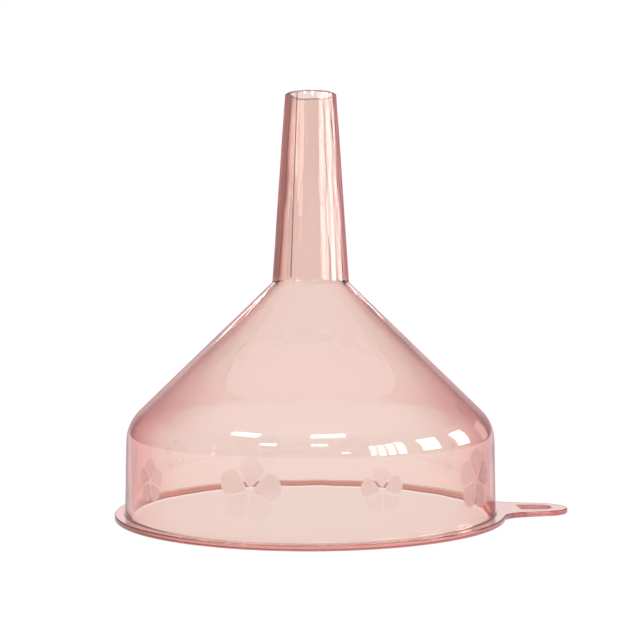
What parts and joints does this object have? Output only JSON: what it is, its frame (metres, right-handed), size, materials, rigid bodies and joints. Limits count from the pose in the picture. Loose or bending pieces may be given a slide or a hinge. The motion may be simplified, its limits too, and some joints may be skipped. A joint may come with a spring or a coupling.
{
  "type": "kitchen funnel",
  "caption": "Clear tinted plastic funnel with a straight band, conical wall, tapered spout, flanged mouth and a flat hang tab; blossoms in low relief round the band.",
  "frame": {"origin": "centre of the mouth, on the plane that the rim rests on", "axes": "+Z along the spout away from the mouth, +X out along the hang tab"},
  "size_m": [0.1403, 0.12, 0.1303],
  "materials": {
    "clear_pink_plastic": "clear, polished, tinted pink all through",
    "frosted_pink_plastic": "fine etched texture on the same clear pink plastic"
  },
  "bodies": {
    "root": {"rim_flange": "clear_pink_plastic", "hang_tab": "clear_pink_plastic", "band_wall": "clear_pink_plastic", "shoulder": "clear_pink_plastic", "cone_wall": "clear_pink_plastic", "neck": "clear_pink_plastic", "spout_tube": "clear_pink_plastic", "spout_seam_front": "clear_pink_plastic", "spout_seam_back": "clear_pink_plastic", "blossom_01": "frosted_pink_plastic", "blossom_02": "frosted_pink_plastic", "blossom_03": "frosted_pink_plastic", "blossom_04": "frosted_pink_plastic", "blossom_05": "frosted_pink_plastic", "blossom_06": "frosted_pink_plastic", "blossom_07": "frosted_pink_plastic", "blossom_08": "frosted_pink_plastic", "blossom_09": "frosted_pink_plastic", "blossom_10": "frosted_pink_plastic"}
  },
  "joints": []
}
